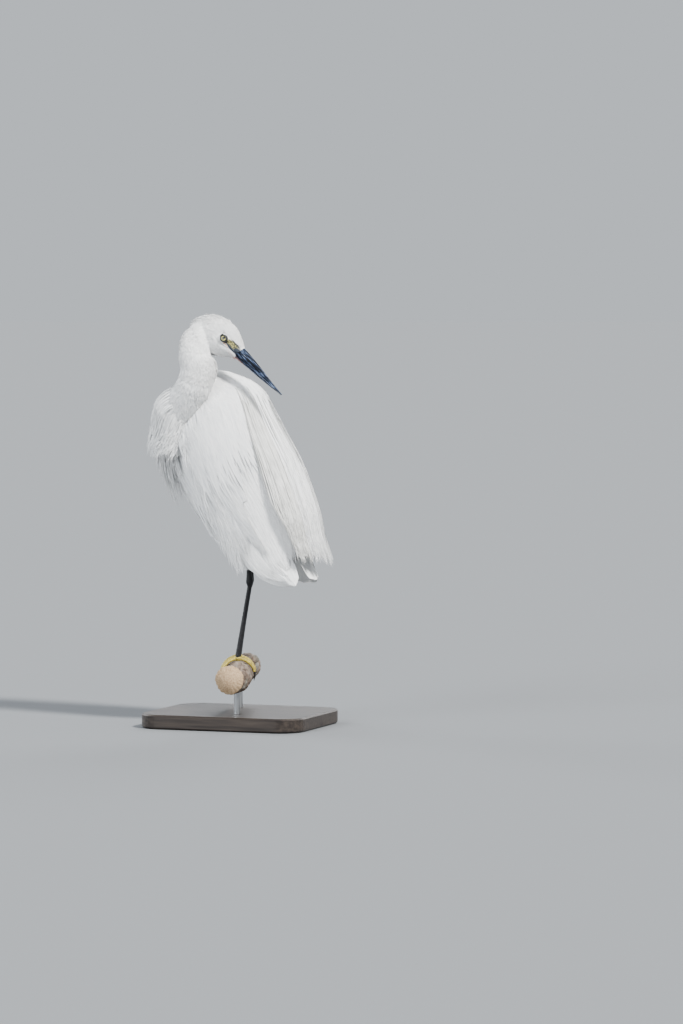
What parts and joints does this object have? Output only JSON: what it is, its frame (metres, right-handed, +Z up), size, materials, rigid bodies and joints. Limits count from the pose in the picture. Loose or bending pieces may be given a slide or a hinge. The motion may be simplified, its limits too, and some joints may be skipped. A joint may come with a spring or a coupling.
{
  "type": "little egret",
  "caption": "Life-size little egret at rest on a cut branch, looking back over its left shoulder, held over a flat display stand.",
  "frame": {"origin": "middle of the stand base's underside", "axes": "+Z up, from the base to the crown; the bird's body faces -X and its left side is -Y"},
  "size_m": [0.2323, 0.1905, 0.5257],
  "materials": {
    "plumage": "matte white feathers",
    "bill": "satin blue-black horn",
    "eye": "glossy pale yellow iris with a black pupil",
    "leg": "black scaled skin, slightly glossy",
    "foot": "yellow scaled skin",
    "claw": "satin black horn",
    "bark": "rough grey-brown bark",
    "stand_base": "satin dark stained wood",
    "stand_rod": "brushed steel"
  },
  "bodies": {
    "root": {"head": "plumage", "bill_upper": "bill", "bill_lower": "bill", "neck_upper": "plumage", "neck_lower": "plumage", "torso": "plumage", "tail": "plumage", "eye_left": "eye", "wing_left": "plumage", "thigh_left": "plumage", "leg_left": "leg", "foot_left": "foot", "claw_left_1": "claw", "claw_left_2": "claw", "claw_left_3": "claw", "claw_left_4": "claw", "eye_right": "eye", "wing_right": "plumage", "thigh_right": "plumage", "leg_right": "leg", "foot_right": "foot", "claw_right_1": "claw", "claw_right_2": "claw", "claw_right_3": "claw", "claw_right_4": "claw", "perch": "bark", "stand_base": "stand_base", "stand_rod_1": "stand_rod", "stand_rod_2": "stand_rod"}
  },
  "joints": []
}
